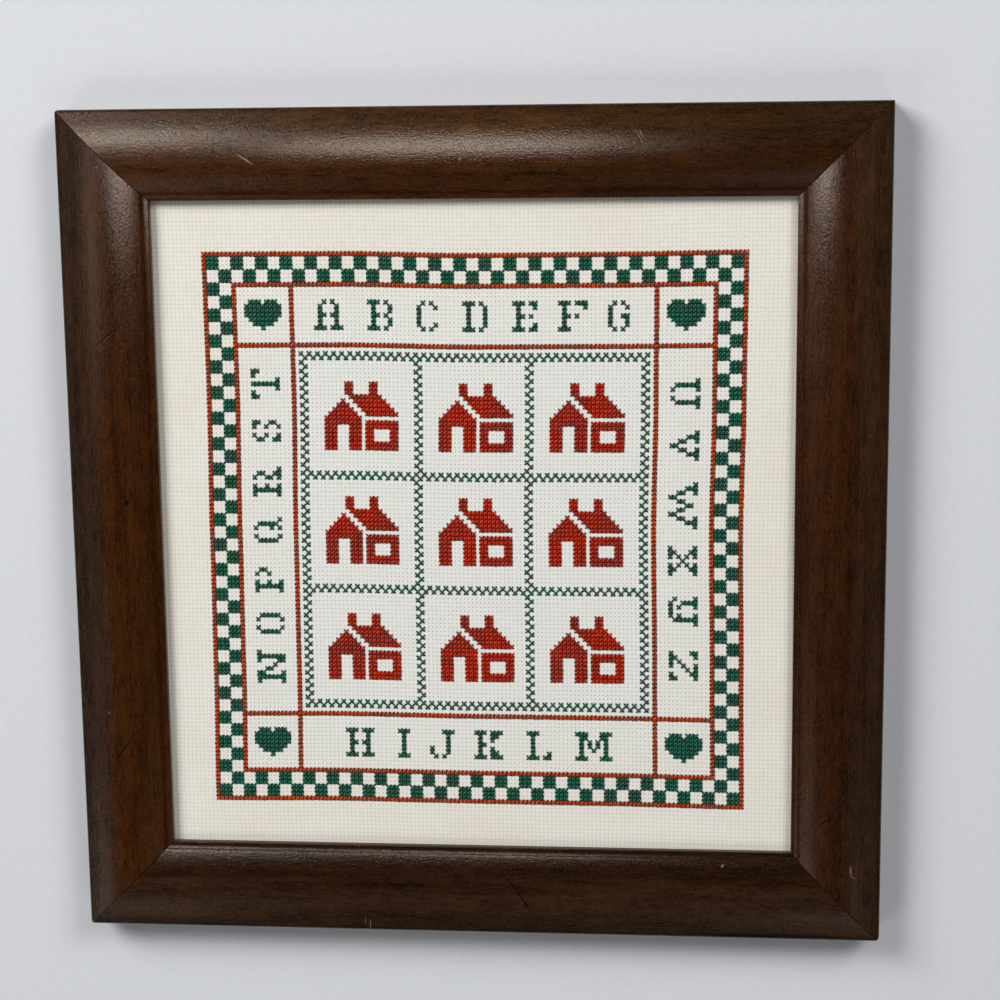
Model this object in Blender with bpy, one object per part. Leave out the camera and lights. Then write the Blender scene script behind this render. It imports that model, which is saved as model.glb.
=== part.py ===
"""Framed cross stitch sampler, lying face up on its back.

Four mitred rails of one moulding make the frame. Behind their sight edge a
rabbet holds the stretched cloth and the stiff back board that carries it.
Units are metres. +X is the picture's right, +Y its top and +Z comes out of its
face. The origin is the middle of the frame's back.
"""

import math

import bmesh
import bpy
from mathutils import Vector

# The frame, over its outer sides.
FRAME_WIDTH = 0.350
FRAME_HEIGHT = 0.360

# The moulding's section: an inset is measured inwards from the outer side.
RAIL_WIDTH = 0.0385
CREST_HEIGHT = 0.0176
CREST_INSET = 0.017
OUTER_CROWN_RADIUS = 0.044
INNER_CROWN_RADIUS = 0.038
SHOULDER_RADIUS = 0.0018
COVE_INSET = 0.0352
COVE_FIRST_SLOPE = math.radians(44)
COVE_LAST_SLOPE = math.radians(8)
SIGHT_ARRIS_RADIUS = 0.0006
RABBET_WIDTH = 0.0065
RABBET_DEPTH = 0.0085

# Faces along each round stretch of the section.
SHOULDER_STEPS = 6
CROWN_STEPS = 10
COVE_STEPS = 5
ARRIS_STEPS = 4

# What lies in the rabbet.
CLOTH_THICKNESS = 0.0012
BOARD_THICKNESS = 0.0035
GAP = 0.0003  # between neighbouring pieces

SHARP_ANGLE = math.radians(30)


def clear_scene():
    for thing in list(bpy.data.objects):
        bpy.data.objects.remove(thing)


def make_material(name, colour, roughness):
    material = bpy.data.materials.new(name)
    material.use_nodes = True
    shader = material.node_tree.nodes["Principled BSDF"]
    shader.inputs["Base Color"].default_value = (*colour, 1)
    shader.inputs["Roughness"].default_value = roughness
    shader.inputs["Metallic"].default_value = 0
    return material


def arc_points(centre, radius, first_angle, last_angle, steps):
    """Points (inset, height) on an arc, with angles from the inward direction."""
    points = []
    for step in range(steps + 1):
        angle = first_angle + (last_angle - first_angle) * step / steps
        inset = centre[0] + radius * math.cos(angle)
        height = centre[1] + radius * math.sin(angle)
        points.append((inset, height))
    return points


def moulding_section():
    """The section's outline as (inset, height), up the outer side and back along the rabbet."""
    up = math.pi / 2

    # The outer crown meets the round shoulder where both have this slope.
    outer_slope = math.asin(
        (CREST_INSET - SHOULDER_RADIUS) / (OUTER_CROWN_RADIUS - SHOULDER_RADIUS)
    )
    outer_drop = OUTER_CROWN_RADIUS * (1 - math.cos(outer_slope))
    side_height = CREST_HEIGHT - outer_drop - SHOULDER_RADIUS * math.cos(outer_slope)
    shoulder = arc_points(
        (SHOULDER_RADIUS, side_height),
        SHOULDER_RADIUS,
        math.pi,
        up + outer_slope,
        SHOULDER_STEPS,
    )
    outer_crown = arc_points(
        (CREST_INSET, CREST_HEIGHT - OUTER_CROWN_RADIUS),
        OUTER_CROWN_RADIUS,
        up + outer_slope,
        up,
        CROWN_STEPS,
    )

    inner_slope = math.asin((COVE_INSET - CREST_INSET) / INNER_CROWN_RADIUS)
    inner_crown = arc_points(
        (CREST_INSET, CREST_HEIGHT - INNER_CROWN_RADIUS),
        INNER_CROWN_RADIUS,
        up,
        up - inner_slope,
        CROWN_STEPS,
    )

    # The cove is hollow, so its centre lies above the moulding.
    arris_start = SIGHT_ARRIS_RADIUS * (1 - math.sin(COVE_LAST_SLOPE))
    cove_width = RAIL_WIDTH - arris_start - COVE_INSET
    cove_radius = cove_width / (math.sin(COVE_FIRST_SLOPE) - math.sin(COVE_LAST_SLOPE))
    cove_centre = (
        COVE_INSET + cove_radius * math.sin(COVE_FIRST_SLOPE),
        inner_crown[-1][1] + cove_radius * math.cos(COVE_FIRST_SLOPE),
    )
    cove = arc_points(
        cove_centre,
        cove_radius,
        -up - COVE_FIRST_SLOPE,
        -up - COVE_LAST_SLOPE,
        COVE_STEPS,
    )

    arris_centre = (
        RAIL_WIDTH - SIGHT_ARRIS_RADIUS,
        cove[-1][1] - SIGHT_ARRIS_RADIUS * math.cos(COVE_LAST_SLOPE),
    )
    arris = arc_points(
        arris_centre, SIGHT_ARRIS_RADIUS, up - COVE_LAST_SLOPE, 0, ARRIS_STEPS
    )

    rabbet = [
        (RAIL_WIDTH, RABBET_DEPTH),
        (RAIL_WIDTH - RABBET_WIDTH, RABBET_DEPTH),
        (RAIL_WIDTH - RABBET_WIDTH, 0),
    ]
    back_corner = [(0, 0)]
    return (
        back_corner
        + shoulder
        + outer_crown[1:]
        + inner_crown[1:]
        + cove[1:]
        + arris[1:]
        + rabbet
    )


def finish_mesh(name, mesh_builder, material):
    """A new object in the scene from a bmesh, with its normals facing out."""
    bmesh.ops.recalc_face_normals(mesh_builder, faces=mesh_builder.faces)
    mesh = bpy.data.meshes.new(name)
    mesh_builder.to_mesh(mesh)
    mesh_builder.free()
    mesh.shade_smooth()
    mesh.set_sharp_from_angle(angle=SHARP_ANGLE)
    mesh.materials.append(material)
    piece = bpy.data.objects.new(name, mesh)
    bpy.context.scene.collection.objects.link(piece)
    return piece


def make_rail(name, length, section, material):
    """One moulding along local X, its outer side at local Y = 0 and both ends mitred."""
    mitre_gap = GAP / math.sqrt(2)
    builder = bmesh.new()
    profile = []
    for inset, height in section:
        start = Vector((-length / 2 + inset + mitre_gap, -inset, height))
        profile.append(builder.verts.new(start))
    first_end = builder.faces.new(profile)
    grown = bmesh.ops.extrude_face_region(builder, geom=[first_end])["geom"]
    for vertex in grown:
        if isinstance(vertex, bmesh.types.BMVert):
            vertex.co.x = -vertex.co.x
    return finish_mesh(name, builder, material)


def make_panel(name, width, height, thickness, material):
    """A flat sheet with its middle at the local origin."""
    builder = bmesh.new()
    bmesh.ops.create_cube(builder, size=1)
    bmesh.ops.scale(builder, vec=Vector((width, height, thickness)), verts=builder.verts)
    return finish_mesh(name, builder, material)


def build_frame(root):
    wood = make_material("stained_walnut", (0.045, 0.021, 0.012), 0.34)
    section = moulding_section()
    half_width = FRAME_WIDTH / 2
    half_height = FRAME_HEIGHT / 2
    # Name, length, turn about Z in degrees, and the middle of the outer side.
    rails = [
        ("rail_top", FRAME_WIDTH, 0, (0, half_height)),
        ("rail_left", FRAME_HEIGHT, 90, (-half_width, 0)),
        ("rail_bottom", FRAME_WIDTH, 180, (0, -half_height)),
        ("rail_right", FRAME_HEIGHT, -90, (half_width, 0)),
    ]
    for name, length, turn, (x, y) in rails:
        rail = make_rail(name, length, section, wood)
        rail.rotation_euler.z = math.radians(turn)
        rail.location = (x, y, 0)
        rail.parent = root


def build_picture(root):
    linen = make_material("counted_cotton", (0.78, 0.75, 0.68), 0.9)
    hardboard = make_material("hardboard", (0.23, 0.13, 0.07), 0.75)
    border = RAIL_WIDTH - RABBET_WIDTH + GAP
    width = FRAME_WIDTH - 2 * border
    height = FRAME_HEIGHT - 2 * border

    cloth_top = RABBET_DEPTH - GAP
    cloth = make_panel("stretched_cloth", width, height, CLOTH_THICKNESS, linen)
    cloth.location.z = cloth_top - CLOTH_THICKNESS / 2
    cloth.parent = root

    board_top = cloth_top - CLOTH_THICKNESS - GAP
    board = make_panel("back_board", width, height, BOARD_THICKNESS, hardboard)
    board.location.z = board_top - BOARD_THICKNESS / 2
    board.parent = root


def build_sampler():
    clear_scene()
    root = bpy.data.objects.new("sampler", None)
    bpy.context.scene.collection.objects.link(root)
    build_frame(root)
    build_picture(root)


build_sampler()
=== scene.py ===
# %% [markdown]
# # A cross stitch sampler in its wooden frame
#
# The real thing is a square of counted cotton cloth, worked in cross stitch, stretched flat over a
# stiff board and held by four mitred rails of one walnut-stained moulding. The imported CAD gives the
# four rails, the cloth and the board as plain solids. This lesson loads them and builds what the eye
# sees on top of them: the moulding with its grain, the weave, and every stitch.

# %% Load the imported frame
import math

import bpy
import numpy as np
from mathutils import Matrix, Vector


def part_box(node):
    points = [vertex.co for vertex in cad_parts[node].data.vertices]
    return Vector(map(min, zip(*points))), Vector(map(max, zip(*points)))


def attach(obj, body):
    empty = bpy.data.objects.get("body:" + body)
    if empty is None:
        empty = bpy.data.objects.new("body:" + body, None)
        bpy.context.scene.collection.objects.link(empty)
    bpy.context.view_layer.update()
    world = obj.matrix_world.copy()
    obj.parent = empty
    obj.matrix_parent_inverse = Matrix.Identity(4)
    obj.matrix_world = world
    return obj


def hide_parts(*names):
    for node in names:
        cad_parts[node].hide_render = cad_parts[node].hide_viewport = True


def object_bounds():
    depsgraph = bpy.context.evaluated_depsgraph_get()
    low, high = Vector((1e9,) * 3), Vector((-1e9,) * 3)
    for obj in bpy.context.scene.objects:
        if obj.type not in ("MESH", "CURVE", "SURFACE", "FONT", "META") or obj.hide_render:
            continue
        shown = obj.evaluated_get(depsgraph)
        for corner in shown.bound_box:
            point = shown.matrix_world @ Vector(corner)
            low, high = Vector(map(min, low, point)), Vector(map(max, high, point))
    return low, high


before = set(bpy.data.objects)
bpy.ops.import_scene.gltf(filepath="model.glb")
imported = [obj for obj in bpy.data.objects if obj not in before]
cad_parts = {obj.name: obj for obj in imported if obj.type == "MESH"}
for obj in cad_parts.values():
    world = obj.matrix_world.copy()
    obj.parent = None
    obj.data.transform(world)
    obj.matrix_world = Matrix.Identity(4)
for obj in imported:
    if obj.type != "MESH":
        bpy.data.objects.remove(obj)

cad_low, cad_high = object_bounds()
print("CAD box in mm:", [round(side * 1000, 1) for side in cad_high - cad_low])
print("CAD nodes:", sorted(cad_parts))

# %% [markdown]
# ## Units, colours and nodes
#
# Stitches, grain and scratches are all measured in millimetres, and Blender works in metres, so one
# constant turns the one into the other. Colours are written as the hex values a painter reads on a
# screen. Shaders want linear light, so one function turns them. One more function adds a shader
# node, which keeps each material readable as a list of nodes. Short ones stand on it for the
# commonest nodes: maths, ranges, noises and mixes of colour. The last gives a shader its colour,
# its relief and its constant sockets.

# %% Helpers for units, colours and nodes
MM = 0.001


def linear(hex_colour):
    """An sRGB hex colour as the linear RGBA that a shader socket takes."""
    channels = [int(hex_colour[place:place + 2], 16) / 255 for place in (1, 3, 5)]
    bent = [c / 12.92 if c <= 0.04045 else ((c + 0.055) / 1.055) ** 2.4 for c in channels]
    return (*bent, 1.0)


def add_node(tree, kind, links=None, stops=None, **settings):
    """Adds a node. links gives each input a value, a socket, or a node whose first output it takes."""
    node = tree.nodes.new(kind)
    for setting, value in settings.items():
        setattr(node, setting, value)
    for place, source in (links or {}).items():
        if isinstance(source, bpy.types.Node):
            source = source.outputs[0]
        if isinstance(source, bpy.types.NodeSocket):
            tree.links.new(source, node.inputs[place])
        else:
            node.inputs[place].default_value = source
    if stops:
        ramp = node.color_ramp.elements
        while len(ramp) < len(stops):
            ramp.new(1.0)
        for element, (position, colour) in zip(ramp, stops):
            element.position = position
            element.color = colour
    return node


def maths(tree, operation, *values):
    """A maths node on one, two or three values."""
    return add_node(tree, "ShaderNodeMath", dict(enumerate(values)), operation=operation)


def ranged(tree, value, source, target, ease="SMOOTHSTEP"):
    """Maps value from the source range, (from, to), onto the target range, and clamps it there."""
    links = {"Value": value, "From Min": source[0], "From Max": source[1],
             "To Min": target[0], "To Max": target[1]}
    return add_node(tree, "ShaderNodeMapRange", links, interpolation_type=ease)


def noise(tree, scale, detail, here=None, **more):
    """A noise in the object's own space, or in the space called here."""
    if here is None:
        here = add_node(tree, "ShaderNodeTexCoord").outputs["Object"]
    links = {"Vector": here, "Scale": scale, "Detail": detail, **more}
    return add_node(tree, "ShaderNodeTexNoise", links)


def blend(tree, share, low, high):
    """The colour that runs from low to high. Each is a hex colour or a socket."""
    low, high = [linear(end) if isinstance(end, str) else end for end in (low, high)]
    mixed = add_node(tree, "ShaderNodeMix", {0: share, 6: low, 7: high}, data_type="RGBA")
    return mixed.outputs[2]


def dimmed(tree, colour, share, *others):
    """The colour times each of the shares."""
    for other in others:
        share = maths(tree, "MULTIPLY", share, other)
    scaled = add_node(tree, "ShaderNodeVectorMath", {0: colour, 1: share}, operation="MULTIPLY")
    return scaled.outputs[0]


def split_apart(tree, vector):
    """The three numbers of a vector."""
    return add_node(tree, "ShaderNodeSeparateXYZ", {0: vector}).outputs


def new_material(name):
    """A material with an empty Principled shader, and its node tree and shader."""
    material = bpy.data.materials.new(name)
    material.use_nodes = True
    tree = material.node_tree
    return material, tree, tree.nodes["Principled BSDF"]


def surface(tree, shader, colour, constants, relief=None, strength=1.0, depth=0.0):
    """Gives the shader a colour, its constant sockets and a bump whose depth is in millimetres."""
    tree.links.new(colour, shader.inputs["Base Color"])
    if relief is not None:
        bump = add_node(tree, "ShaderNodeBump", {
            "Height": relief, "Strength": strength, "Distance": depth * MM})
        tree.links.new(bump.outputs[0], shader.inputs["Normal"])
    for socket, value in constants.items():
        shader.inputs[socket].default_value = value


print("mid grey in linear light:", round(linear("#808080")[0], 3))

# %% [markdown]
# ## Meshes from arrays
#
# The sampler has thousands of stitches and tens of thousands of squares of cloth. Adding them one by
# one with bmesh would be slow, so each piece is worked out as NumPy arrays of points and faces and
# handed to Blender in one go.

# %% A helper for meshes
def mesh_object(name, points, face_groups, material, sharp=None):
    """An object from points (n, 3) and groups of faces, one array for each number of corners."""
    corners = np.concatenate([group.ravel() for group in face_groups]).astype(np.int32)
    counts = np.concatenate([np.full(len(group), group.shape[1]) for group in face_groups])
    starts = np.concatenate([[0], np.cumsum(counts)[:-1]]).astype(np.int32)
    mesh = bpy.data.meshes.new(name)
    mesh.vertices.add(len(points))
    mesh.vertices.foreach_set("co", np.asarray(points, np.float32).ravel())
    mesh.loops.add(len(corners))
    mesh.loops.foreach_set("vertex_index", corners)
    mesh.polygons.add(len(counts))
    mesh.polygons.foreach_set("loop_start", starts)
    mesh.update(calc_edges=True)
    mesh.shade_smooth()
    if sharp is not None:
        mesh.set_sharp_from_angle(angle=sharp)
    mesh.materials.append(material)
    made = bpy.data.objects.new(name, mesh)
    bpy.context.scene.collection.objects.link(made)
    return made


def triangle_count(piece):
    piece.data.calc_loop_triangles()
    return len(piece.data.loop_triangles)


def map_from_above(piece, low, high):
    """A UV map that lays the piece out as seen from above, so that its pattern can be baked well."""
    mesh = piece.data
    places = np.empty(len(mesh.vertices) * 3, np.float32)
    mesh.vertices.foreach_get("co", places)
    places = places.reshape(-1, 3)[:, :2]
    span = np.array([high.x - low.x, high.y - low.y])
    unit = (places - np.array([low.x, low.y])) / span
    corners = np.empty(len(mesh.loops), np.int32)
    mesh.loops.foreach_get("vertex_index", corners)
    layer = mesh.uv_layers.new(name="OFBake")
    layer.uv.foreach_set("vector", unit[corners].astype(np.float32).ravel())

# %% [markdown]
# ## The size of things
#
# Every place comes from the CAD boxes: the frame's outer size, the rails' width, the opening between
# the sight edges and the height of the cloth.

# %% Measure the CAD nodes
top_low, top_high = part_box("rail_top")
cloth_low, cloth_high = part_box("stretched_cloth")
RAIL_WIDTH = top_high.y - top_low.y
CREST_HEIGHT = top_high.z
HALF_WIDTH = cad_high.x
HALF_HEIGHT = cad_high.y
CLOTH_TOP = cloth_high.z
OPENING = (2 * (HALF_WIDTH - RAIL_WIDTH), 2 * (HALF_HEIGHT - RAIL_WIDTH))
CLOTH_FLAT = (cloth_high.x - cloth_low.x, cloth_high.y - cloth_low.y)
print("rail width in mm:", round(RAIL_WIDTH / MM, 2))
print("opening in mm:", [round(side / MM, 1) for side in OPENING])

# %% [markdown]
# ## The count
#
# Counted cloth is woven in little square blocks with a hole at each corner, and one cross stitch
# covers one block. The design is 131 stitches square. Cloth for hand work is rarely quite square in
# its count: this one has 14.4 blocks to the inch across and 13.8 down. A place on the cloth is given
# as (column, row), counted from the top left corner of the stitched border.

# %% The count of the cloth
STITCHES = 131
BLOCK_ACROSS = 25.4 * MM / 14.4
BLOCK_DOWN = 25.4 * MM / 13.77
DESIGN_LEFT = -115.3 * MM
DESIGN_TOP = 119.4 * MM
print("design in mm:", round(STITCHES * BLOCK_ACROSS / MM, 1), round(STITCHES * BLOCK_DOWN / MM, 1))

# %% [markdown]
# ## The pull of the cloth
#
# Nobody stretches cloth perfectly square. Its threads wander by a millimetre or so: the top border
# dips right of the middle, the left border leans outwards towards its foot, and the right border
# bows in. The wander is given in millimetres at five places along each side of the design and eased
# between them. One function places both the weave and the stitches, so they stay together.

# %% Where a column and row lie on the stretched cloth
PULL_KNOTS = np.linspace(0, STITCHES, 5)
TOP_PULL = (0.3, 0.3, -0.85, -0.65, 0.0)
BOTTOM_PULL = (-0.6, 0.1, -0.2, -0.25, -0.8)
LEFT_PULL = (0.1, 0.4, -0.35, -0.75, -1.6)
RIGHT_PULL = (0.6, 0.0, -1.05, -0.4, 0.1)


def eased(at, pulls):
    """The pull at these counts, in metres, eased between the knots."""
    step = np.clip(np.searchsorted(PULL_KNOTS, at, side="right") - 1, 0, len(pulls) - 2)
    share = np.clip((at - PULL_KNOTS[step]) / (PULL_KNOTS[1] - PULL_KNOTS[0]), 0, 1)
    share = share * share * (3 - 2 * share)
    pulls = np.array(pulls) * MM
    return pulls[step] * (1 - share) + pulls[step + 1] * share


def on_cloth(column, row):
    """World x and y of places given in columns and rows."""
    across = np.clip(column / STITCHES, 0, 1)
    down = np.clip(row / STITCHES, 0, 1)
    pull_up = eased(column, TOP_PULL) * (1 - down) + eased(column, BOTTOM_PULL) * down
    pull_right = eased(row, LEFT_PULL) * (1 - across) + eased(row, RIGHT_PULL) * across
    x = DESIGN_LEFT + column * BLOCK_ACROSS + pull_right
    y = DESIGN_TOP - row * BLOCK_DOWN + pull_up
    return x, y


corner = on_cloth(np.array([float(STITCHES)]), np.array([float(STITCHES)]))
print("lower right corner of the border in mm:", [round(float(c[0]) / MM, 1) for c in corner])

# %% [markdown]
# ## The chart
#
# A stitcher works from a chart: squared paper with a mark for each stitch. The chart here is a few
# sets of stitched squares, built up motif by motif the way the design was planned. The letters are
# a plain slab alphabet, seven stitches high, with the open joints that keep small letters clear.

# %% Letters, hearts and houses, drawn on squared paper
LETTERS = dict(
    A="..#.#.. .#...#. .#...#. .##.##. .#...#. .#...#. ###.###",
    B="###.#. .#...# .#...# .##.#. .#...# .#...# ###.#.",
    C=".#.#. #...# #.... #.... #.... #...# .#.#.",
    D="###.#. .#...# .#...# .#...# .#...# .#...# ###.#.",
    E="###.## .#...# .#.... .##.#. .#.... .#...# ###.##",
    F="###.### .#....# .#..... .##.#.. .#..... .#..... ###....",
    G=".#.#.. #...#. #..... #..##. #...#. #...#. .#.#..",
    H="###.### .#...#. .#...#. .##.##. .#...#. .#...#. ###.###",
    I="### .#. .#. .#. .#. .#. ###",
    J="...### ....#. ....#. ....#. #...#. #...#. .#.#..",
    K="###.### .#..##. .#..#.. .##.... .#..#.. .#..##. ###.###",
    L="###... .#.... .#.... .#.... .#.... .#...# ###.##",
    M="###...### .##...##. .#.#.#.#. .#.#.#.#. .#..#..#. .#.....#. ###...###",
    N="###..### .##...#. .#.#..#. .#.#..#. .#..#.#. .#...##. ###..##.",
    O=".#.#. #...# #...# #...# #...# #...# .#.#.",
    P="###.#. .#...# .#...# .##.#. .#.... .#.... ###...",
    Q=".#.#.. #...#. #...#. #...#. #..##. #...#. .#.#.#",
    R="###.#.. .#...#. .#...#. .##.#.. .#..#.. .#...#. ###.###",
    S=".#.## #...# #.... .#.#. ....# #...# ##.#.",
    T="##.#.## #..#..# ...#... ...#... ...#... ...#... ..###..",
    U="###.### .#...#. .#...#. .#...#. .#...#. .#...#. ..#.#..",
    V="###.### .#...#. .#...#. ..#.#.. ..#.#.. ...#... ...#...",
    W="###.....### .#...#...#. .#...#...#. ..#.#.#.#.. ..#.#.#.#.. ...#...#... ...#...#...",
    X="###.### .#...#. ..#.#.. ...#... ..#.#.. .#...#. ###.###",
    Y="###.### .#...#. .#...#. .#...#. ..#.##. #....#. .####..",
    Z="##.#### #....#. ....#.. ...#... ..#.... .#....# ####.##",
)
HEART = ".###.###. ######### ######### ######### .#######. ..#####.. ....#...."
HOUSE = (
    ".....##....##..... .....##....##..... .....##....##..... ......########.... "
    "....#..########... ...###..########.. ..#####..########. .#######..######## "
    "#########......... #########.######## ###...###.######## ###...###.##....## "
    "###...###.##....## ###...###.##....## ###...###.######## ###...###.########"
)


def motif_squares(motif, column, row, turn="upright"):
    """The stitched squares of a motif whose box starts at this column and row.

    A motif turned left has its top towards the left and reads upwards. One turned right has
    its top towards the right and reads downwards.
    """
    lines = motif.split()
    wide, high = len(lines[0]), len(lines)
    squares = set()
    for line_number, line in enumerate(lines):
        for place, mark in enumerate(line):
            if mark != "#":
                continue
            if turn == "upright":
                squares.add((column + place, row + line_number))
            elif turn == "left":
                squares.add((column + line_number, row + wide - 1 - place))
            else:
                squares.add((column + high - 1 - line_number, row + place))
    return squares


print("stitches in one house:", len(motif_squares(HOUSE, 0, 0)))

# %% [markdown]
# The border is two rows of checks, three stitches to a check, between two rust rules. Two more rules
# each way box in the corners, a heart in each. The letters run round between them, so the side ones
# lie on their sides. Zigzag bands of green, each two stitches wide, part the nine houses.

# %% Fill the chart
LAST = STITCHES - 1
INNER_RULE = 7
BOX_RULE = 21
BAND_STARTS = (23, 51, 78, 106)
HOUSE_COLUMNS = (29, 57, 84)
HOUSE_ROWS = (30, 57, 85)
HEART_PLACES = ((10, 11), (112, 11), (10, 113), (112, 113))
CHECK = 3
CHECKS_A_SIDE = (STITCHES - 2) // CHECK
BORDER_CHECKS = 2
NEAR_LETTERS = 11
FAR_LETTERS = 113
LINES_OF_LETTERS = (
    # turn, column or row of the line, and where each letter starts along it
    ("upright", NEAR_LETTERS, dict(A=27, B=40, C=52, D=63, E=75, F=86, G=98)),
    ("upright", FAR_LETTERS, dict(H=33, I=46, J=54, K=65, L=78, M=90)),
    ("left", NEAR_LETTERS, dict(T=27, S=39, R=50, Q=62, P=74, O=85, N=94)),
    ("right", FAR_LETTERS, dict(U=29, V=41, W=53, X=68, Y=80, Z=93)),
)

checks = set()
for check_column in range(CHECKS_A_SIDE):
    for check_row in range(CHECKS_A_SIDE):
        nearest = min(check_column, check_row)
        furthest = max(check_column, check_row)
        in_border = nearest < BORDER_CHECKS or furthest >= CHECKS_A_SIDE - BORDER_CHECKS
        if in_border and (check_column + check_row) % 2 == 0:
            for stitch in range(CHECK * CHECK):
                column = 1 + check_column * CHECK + stitch % CHECK
                row = 1 + check_row * CHECK + stitch // CHECK
                checks.add((column, row))

rules = set()
for place in range(STITCHES):
    for edge in (0, LAST):
        rules |= {(place, edge), (edge, place)}
for place in range(INNER_RULE, STITCHES - INNER_RULE):
    for rule in (INNER_RULE, BOX_RULE, LAST - BOX_RULE, LAST - INNER_RULE):
        rules |= {(place, rule), (rule, place)}

bands = set()
for start in BAND_STARTS:
    for width in (start, start + 1):
        for place in range(BAND_STARTS[0], BAND_STARTS[-1] + 2):
            if (width + place) % 2 == 0:
                bands |= {(place, width), (width, place)}

houses = set()
for column in HOUSE_COLUMNS:
    for row in HOUSE_ROWS:
        houses |= motif_squares(HOUSE, column, row)

figures = set()
for column, row in HEART_PLACES:
    figures |= motif_squares(HEART, column, row)
for turn, line, starts in LINES_OF_LETTERS:
    for letter, place in starts.items():
        column, row = (place, line) if turn == "upright" else (line, place)
        figures |= motif_squares(LETTERS[letter], column, row, turn)

all_stitches = len(checks) + len(rules) + len(bands) + len(houses) + len(figures)
print("checks", len(checks), "rules", len(rules), "bands", len(bands))
print("houses", len(houses), "letters and hearts", len(figures), "in all", all_stitches)

# %% [markdown]
# ## The counted cloth
#
# The real cloth is bleached cotton in a block weave: four threads each way make a soft square
# cushion, and where four cushions meet there is a needle hole. The mesh has a point at each hole,
# at the middle of each side and at the middle of each block, and sinks at the holes, so the
# cushions catch the light by their shape. Only what shows in the opening is as fine as that: under
# the rails the cloth runs on as plain strips to its cut edge, and its back is one flat face.

# %% Build the cloth
HOLE_DEPTH = 0.28 * MM
FURROW_DEPTH = 0.06 * MM
PACKED_SINK = 0.15 * MM
UNEVEN_WEAVE = 0.03 * MM

first_column = math.floor((-OPENING[0] / 2 - DESIGN_LEFT) / BLOCK_ACROSS)
last_column = math.ceil((OPENING[0] / 2 - DESIGN_LEFT) / BLOCK_ACROSS)
first_row = math.floor((DESIGN_TOP - OPENING[1] / 2) / BLOCK_DOWN)
last_row = math.ceil((DESIGN_TOP + OPENING[1] / 2) / BLOCK_DOWN)
columns_fine = np.arange(2 * first_column, 2 * last_column + 1) / 2
rows_fine = np.arange(2 * first_row, 2 * last_row + 1) / 2
wide, high = len(columns_fine), len(rows_fine)
print("blocks of cloth that show:", last_column - first_column, "by", last_row - first_row)

column_grid, row_grid = np.meshgrid(columns_fine, rows_fine)
x_grid, y_grid = on_cloth(column_grid, row_grid)
on_line = (column_grid % 1 == 0).astype(int) + (row_grid % 1 == 0).astype(int)
sink = np.choose(on_line, [0.0, FURROW_DEPTH, HOLE_DEPTH])

# Where every block that touches a point is stitched, the cloth is pressed down and hidden, and the
# shader paints shade there.
all_squares = checks | rules | bands | houses | figures
stitched = np.zeros((last_row - first_row + 2, last_column - first_column + 2))
for column, row in all_squares:
    stitched[row - first_row + 1, column - first_column + 1] = 1.0
touching = []
for nudge_column in (-0.25, 0.25):
    for nudge_row in (-0.25, 0.25):
        in_column = np.floor(column_grid + nudge_column).astype(int) - first_column + 1
        in_row = np.floor(row_grid + nudge_row).astype(int) - first_row + 1
        touching.append(stitched[in_row, in_column])
packed = np.min(touching, axis=0)
sink = sink + packed * PACKED_SINK
weave_draw = np.random.default_rng(14)
sink = sink + weave_draw.uniform(0, UNEVEN_WEAVE, sink.shape)
front = np.stack([x_grid, y_grid, CLOTH_TOP - sink], -1).reshape(-1, 3)
index = np.arange(wide * high).reshape(high, wide)
front_faces = np.stack(
    [index[1:, :-1], index[1:, 1:], index[:-1, 1:], index[:-1, :-1]], -1).reshape(-1, 4)

# The rim of the fine part, going round, and the same points pushed out to the cut edge.
rim = np.concatenate([index[0, :-1], index[:-1, -1], index[-1, :0:-1], index[:0:-1, 0]])
rim_columns = column_grid.ravel()[rim]
rim_rows = row_grid.ravel()[rim]
across = (rim_columns - columns_fine[0]) / (columns_fine[-1] - columns_fine[0])
down = (rim_rows - rows_fine[0]) / (rows_fine[-1] - rows_fine[0])
cut_edge = np.stack([
    cloth_low.x + across * CLOTH_FLAT[0],
    cloth_high.y - down * CLOTH_FLAT[1],
    np.full(len(rim), CLOTH_TOP - FURROW_DEPTH),
], -1)
back_edge = cut_edge.copy()
back_edge[:, 2] = cloth_low.z
outer = len(front) + np.arange(len(rim))
under = outer + len(rim)
skirt_faces = []
for inside, outside in ((rim, outer), (outer, under)):
    skirt_faces.append(np.stack([inside, np.roll(inside, -1), np.roll(outside, -1), outside], -1))
back_face = under[None, :]
cloth_points = np.concatenate([front, cut_edge, back_edge])
front_counts = np.stack([column_grid.ravel(), row_grid.ravel(), packed.ravel()], -1)
rim_counts = np.stack([rim_columns, rim_rows, np.zeros(len(rim))], -1)
cloth_counts = np.concatenate([front_counts, rim_counts, rim_counts])

# %% [markdown]
# The finish is bleached cotton, block woven. The eye gets a soft, matt, warm white, tiny dark
# needle holes in rows, and a faint rib from the threads. Real threads here are 0.44 mm apart. The
# cloth's own columns and rows are stored on the mesh, so the pattern follows the pull of the threads,
# and a third number marks where stitches press the cloth down and hide it, where the cloth gets a
# painted shade.

# %% Block-woven cotton
THREADS_A_BLOCK = 4
STITCHED_HOLE = -0.54  # how much a hole darkens the cloth, in the design and in the margin
MARGIN_HOLE = -0.30
# Painted shade on the cloth that shows between packed stitches.
PACKED_PAINTED_SHADE = -0.72  # how much darker the cloth is where stitches hide it
FURROW_SHADE = -0.04
RIB_SHADE = 0.03
HOLE_EDGE = (0.08, 0.20)  # blocks from the middle of a hole
FURROW_EDGE = (0.0, 0.16)


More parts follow.
